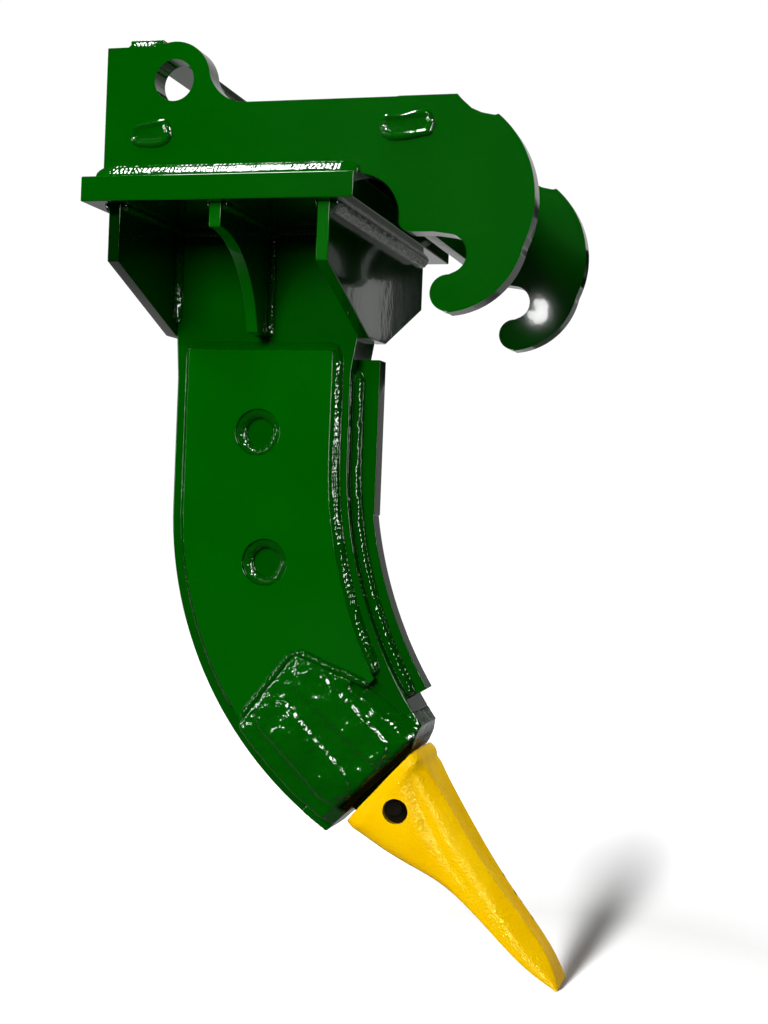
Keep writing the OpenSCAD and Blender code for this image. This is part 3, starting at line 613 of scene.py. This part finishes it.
# Pin and its retainer: a turned steel pin, oxide black, in a moulded black rubber sleeve in the nose.
# The sleeve grips the pin when it is driven in. Both are the CAD solids and only get their finish here.
pin_steel = enamel("black_oxide_steel", "#1e1812", "#14100c", 0.45, 2.0, 0.1, 0.1, 0.0)
rubber = enamel("black_rubber", "#060606", "#040404", 0.5, 2.0, 0.05, 0.05, 0.0)
nodes["tooth_pin"].data.materials.clear()
nodes["tooth_pin"].data.materials.append(pin_steel)
nodes["pin_retainer"].data.materials.clear()
nodes["pin_retainer"].data.materials.append(rubber)

# Stage: a pale floor under the tooth tip, a white backdrop, dark flags, soft lamps and the camera.
# Broad lamps without a mirror image give the even green; small ones that are mirrored give the glints.
# The camera stands where the photograph was taken from: near the shank's middle height, 2 m away.
low, high = cad_box
centre = (low + high) / 2
CAMERA_PLACE = Vector((0.754, -1.9135, -0.4986))
CAMERA_TURN = (15.58, 0.25, 2.21)
PHOTO_FOCAL = 1534.0
PHOTO_SIZE = (768, 1024)


def stage_material(name, colour, glow_near, glow_far, mirrored_front, mirrored_back):
    """A matt white that takes shadows and glows further out; the object mirrors it dimmer."""
    made = bpy.data.materials.new(name)
    made.use_nodes = True
    tree = made.node_tree
    tree.nodes.clear()
    path = add_node(tree, "ShaderNodeLightPath")
    place = add_node(tree, "ShaderNodeNewGeometry").outputs["Position"]
    away = add_node(tree, "ShaderNodeVectorMath", {"operation": "DISTANCE", 1: (high.x, 0, low.z)},
                    _0=place)
    power = add_node(tree, "ShaderNodeMapRange", {"From Min": 0.35, "From Max": 1.15,
                                                  "To Min": glow_near, "To Max": glow_far},
                     Value=away.outputs["Value"])
    glow = add_node(tree, "ShaderNodeEmission", {"Color": linear("#ffffff")},
                    Strength=power.outputs["Result"])
    matt = add_node(tree, "ShaderNodeBsdfDiffuse", {"Color": linear(colour)})
    both = add_node(tree, "ShaderNodeAddShader", {}, _0=matt.outputs[0], _1=glow.outputs[0])
    axes = add_node(tree, "ShaderNodeSeparateXYZ", {}, Vector=place)
    depth = add_node(tree, "ShaderNodeMapRange", {"From Min": -0.3, "From Max": 0.8,
                                                  "To Min": mirrored_front, "To Max": mirrored_back},
                     Value=axes.outputs["Y"])
    aside = add_node(tree, "ShaderNodeMath", {"operation": "ABSOLUTE"}, _0=axes.outputs["X"])
    fade = add_node(tree, "ShaderNodeMapRange", {"From Min": 2.2, "From Max": 3.2,
                                                 "To Min": 1.0, "To Max": 0.04},
                    Value=aside.outputs["Value"])
    level = add_node(tree, "ShaderNodeMath", {"operation": "MULTIPLY"}, _0=depth.outputs["Result"],
                     _1=fade.outputs["Result"])
    image = add_node(tree, "ShaderNodeEmission", {"Color": linear("#ffffff")},
                     Strength=level.outputs["Value"])
    shown = add_node(tree, "ShaderNodeMixShader", {}, _0=path.outputs["Is Camera Ray"],
                     _1=image.outputs[0], _2=both.outputs[0])
    add_node(tree, "ShaderNodeOutputMaterial", {}, Surface=shown.outputs[0])
    return made


deselect()
bpy.ops.mesh.primitive_plane_add(size=14, location=(high.x, 0, low.z))
floor = bpy.context.object
floor.name = "studio_floor"
floor.data.materials.append(stage_material("matt_white_floor", "#e0e0e0", 0.08, 1.0, 0.01, 0.3))
deselect()
bpy.ops.mesh.primitive_plane_add(size=14, location=(centre.x, 5.0, low.z + 6),
                                 rotation=(math.pi / 2, 0, 0))
backdrop = bpy.context.object
backdrop.name = "studio_backdrop"
backdrop.data.materials.append(stage_material("matt_white_backdrop", "#404040", 1.0, 1.0, 0.5, 0.5))

# flags behind the object, out of the camera's sight, keep its mirror images dark but for one opening
FLAG_Y = 3.0
for name, x0, x1, z0, z1, glow in (("dark_flag_left", 0.2, 1.04, -0.1, 0.42, 0.0),
                                   ("dark_flag_top", 1.04, 1.26, 0.25, 1.2, 0.0),
                                   ("dark_flag_right", 1.17, 1.26, -0.1, 0.25, 0.0),
                                   ("dark_flag_slot", 1.04, 1.17, -0.12, 0.05, 0.0),
                                   ("dim_flag_low", 0.2, 0.8, -1.08, -0.12, 0.05),
                                   ("grey_flag_low", 0.8, 1.7, -1.0, -0.12, 0.2)):
    deselect()
    bpy.ops.mesh.primitive_plane_add(size=1, location=((x0 + x1) / 2, FLAG_Y, (z0 + z1) / 2),
                                     rotation=(math.pi / 2, 0, 0))
    flag = bpy.context.object
    flag.name = name
    flag.scale = (x1 - x0, z1 - z0, 1)
    flag.visible_camera = False
    cloth, tree, shader = new_material(name + "_cloth")
    shader.inputs["Base Color"].default_value = linear("#050505")
    shader.inputs["Specular IOR Level"].default_value = 0.0
    shader.inputs["Emission Color"].default_value = linear("#ffffff")
    shader.inputs["Emission Strength"].default_value = glow
    flag.data.materials.append(cloth)

world = bpy.data.worlds.new("studio")
bpy.context.scene.world = world
world.use_nodes = True
room = world.node_tree
room.nodes.clear()
ray = add_node(room, "ShaderNodeLightPath")
level = add_node(room, "ShaderNodeMapRange", {"To Min": 0.06, "To Max": 0.0},
                 Value=ray.outputs["Is Glossy Ray"])
air = add_node(room, "ShaderNodeBackground", {"Color": linear("#ffffff")},
               Strength=level.outputs["Result"])
white = add_node(room, "ShaderNodeBackground", {"Color": linear("#ffffff"), "Strength": 1.0})
either = add_node(room, "ShaderNodeMixShader", {}, _0=ray.outputs["Is Camera Ray"], _1=air.outputs[0],
                  _2=white.outputs[0])
add_node(room, "ShaderNodeOutputWorld", {}, Surface=either.outputs[0])


def soft_box(name, place, width, length, watts, target, only=(), never=()):
    """A studio lamp that faces the target and lights either only some objects or all but some."""
    lamp = bpy.data.lights.new(name, "AREA")
    lamp.shape = "RECTANGLE"
    lamp.size = width
    lamp.size_y = length
    lamp.energy = watts
    holder = bpy.data.objects.new(name, lamp)
    bpy.context.scene.collection.objects.link(holder)
    holder.location = place
    holder.rotation_euler = (Vector(target) - Vector(place)).to_track_quat("-Z", "Y").to_euler()
    receivers = bpy.data.collections.new(name + "_receivers")
    holder.light_linking.receiver_collection = receivers
    for i, thing in enumerate(tuple(only) + tuple(never)):
        receivers.objects.link(thing)
        link = receivers.collection_objects[i].light_linking
        link.link_state = "INCLUDE" if thing in only else "EXCLUDE"
    return holder


rough_pieces = [bpy.data.objects[name] for name in (
    "cheek_beads", "cheek_plug_beads", "shin_beads", "gusset_beads", "hook_beads", "tie_bar_beads",
    "tenon_puddles", "adapter_casting", "adapter_beads", "tooth_casting")]
low_pieces = [bpy.data.objects[name] for name in (
    "cheek_plate_left_painted", "cheek_plate_right_painted", "front_transverse_plate_painted",
    "mid_gusset_left_painted", "mid_gusset_right_painted", "adapter_casting")]
rear_plate = bpy.data.objects["rear_transverse_plate_painted"]
tooth_middle = in_tooth_frame(120, 0, 0)
soft_box("overhead_strip", (-0.65, 0.0, 1.9), 1.9, 0.45, 45, (-0.2, 0, -0.2), never=(floor,))
key_box = soft_box("key_box", (-1.6, -2.4, 1.6), 0.4, 0.4, 26, centre, never=(floor,))
key_box.visible_glossy = False
key_glint = soft_box("key_glint_box", (-1.6, -2.4, 1.6), 0.4, 0.4, 26, centre, only=rough_pieces)
key_glint.visible_diffuse = False
soft_box("upper_front_box", (0.15, -2.5, 1.4), 0.25, 0.25, 10, centre, only=rough_pieces)
front_box = soft_box("front_box", (-0.35, -2.8, 0.55), 1.0, 1.0, 58, centre,
                     never=(floor, tooth, rear_plate))
front_box.visible_glossy = False
back_box = soft_box("back_box", (-0.3, 2.9, 0.6), 1.0, 1.0, 50, centre, never=(floor,))
back_box.visible_glossy = False
low_box = soft_box("low_front_box", (-0.1, -1.9, -1.0), 0.6, 0.6, 16, (0.15, 0, -0.75),
                   only=low_pieces)
tooth_box = soft_box("tooth_front_box", (-0.3, -1.9, -1.0), 0.6, 0.6, 54, tooth_middle, only=(tooth,))
top_box = soft_box("tooth_top_box", (1.2, 0.4, 0.2), 0.5, 0.5, 13, tooth_middle, only=(tooth,))
for lamp in (low_box, tooth_box, top_box):
    lamp.visible_glossy = False
glint_box = soft_box("tooth_glint_box", (1.3, -2.05, -0.70), 0.45, 0.45, 150, tooth_middle,
                     only=(tooth,))
glint_box.visible_diffuse = False
glint_box.data.color = linear("#fff27a")[:3]
hook_pane = soft_box("far_hook_pane", (0.32, -0.14, -0.179), 0.034, 0.040, 0.055, (0.32, 0.2, -0.179),
                     only=(bpy.data.objects["hook_plate_right_painted"],))
hook_pane.data.shape = "ELLIPSE"
hook_pane.visible_diffuse = False
hook_pane.visible_camera = False
casting_box = soft_box("casting_glint_box", (-0.9, -1.9, -0.35), 0.15, 0.15, 2.8, (0.2, 0, -0.8),
                       only=(adapter,))
casting_box.visible_diffuse = False
front_beads = (bpy.data.objects["cheek_beads"], bpy.data.objects["shin_beads"])
for name, place, width, length, watts, spared in (
        ("right_pane", (2.4, -1.1, -0.4), 0.14, 0.8, 8, ()),
        ("right_front_pane", (1.9, -2.3, 0.6), 0.4, 0.5, 18, front_beads),
        ("right_top_pane", (2.2, -1.5, 1.2), 0.6, 0.6, 30, front_beads),
        ("left_pane", (-2.3, -1.5, -0.2), 0.3, 0.9, 10, ())):
    pane = soft_box(name, place, width, length, watts, centre, never=(floor, tooth) + spared)
    pane.visible_diffuse = False
shadow_box = soft_box("shadow_box", (-0.22, -3.4, -0.44), 0.42, 0.42, 900, (high.x, 0, low.z),
                      only=(floor,))
shadow_box.visible_glossy = False

turn, rise, roll = (math.radians(a) for a in CAMERA_TURN)
lens = bpy.data.cameras.new("photo_camera")
lens.sensor_width = 36.0
lens.lens = lens.sensor_width * PHOTO_FOCAL / max(PHOTO_SIZE)
lens.clip_start = 0.05
lens.clip_end = 100
camera = bpy.data.objects.new("photo_camera", lens)
bpy.context.scene.collection.objects.link(camera)
camera.location = CAMERA_PLACE
aim = Euler((math.pi / 2 - rise, 0, turn), "XYZ").to_matrix() @ Matrix.Rotation(roll, 3, "Z")
camera.rotation_euler = aim.to_euler()
bpy.context.scene.camera = camera
bpy.context.scene.view_settings.view_transform = "Standard"
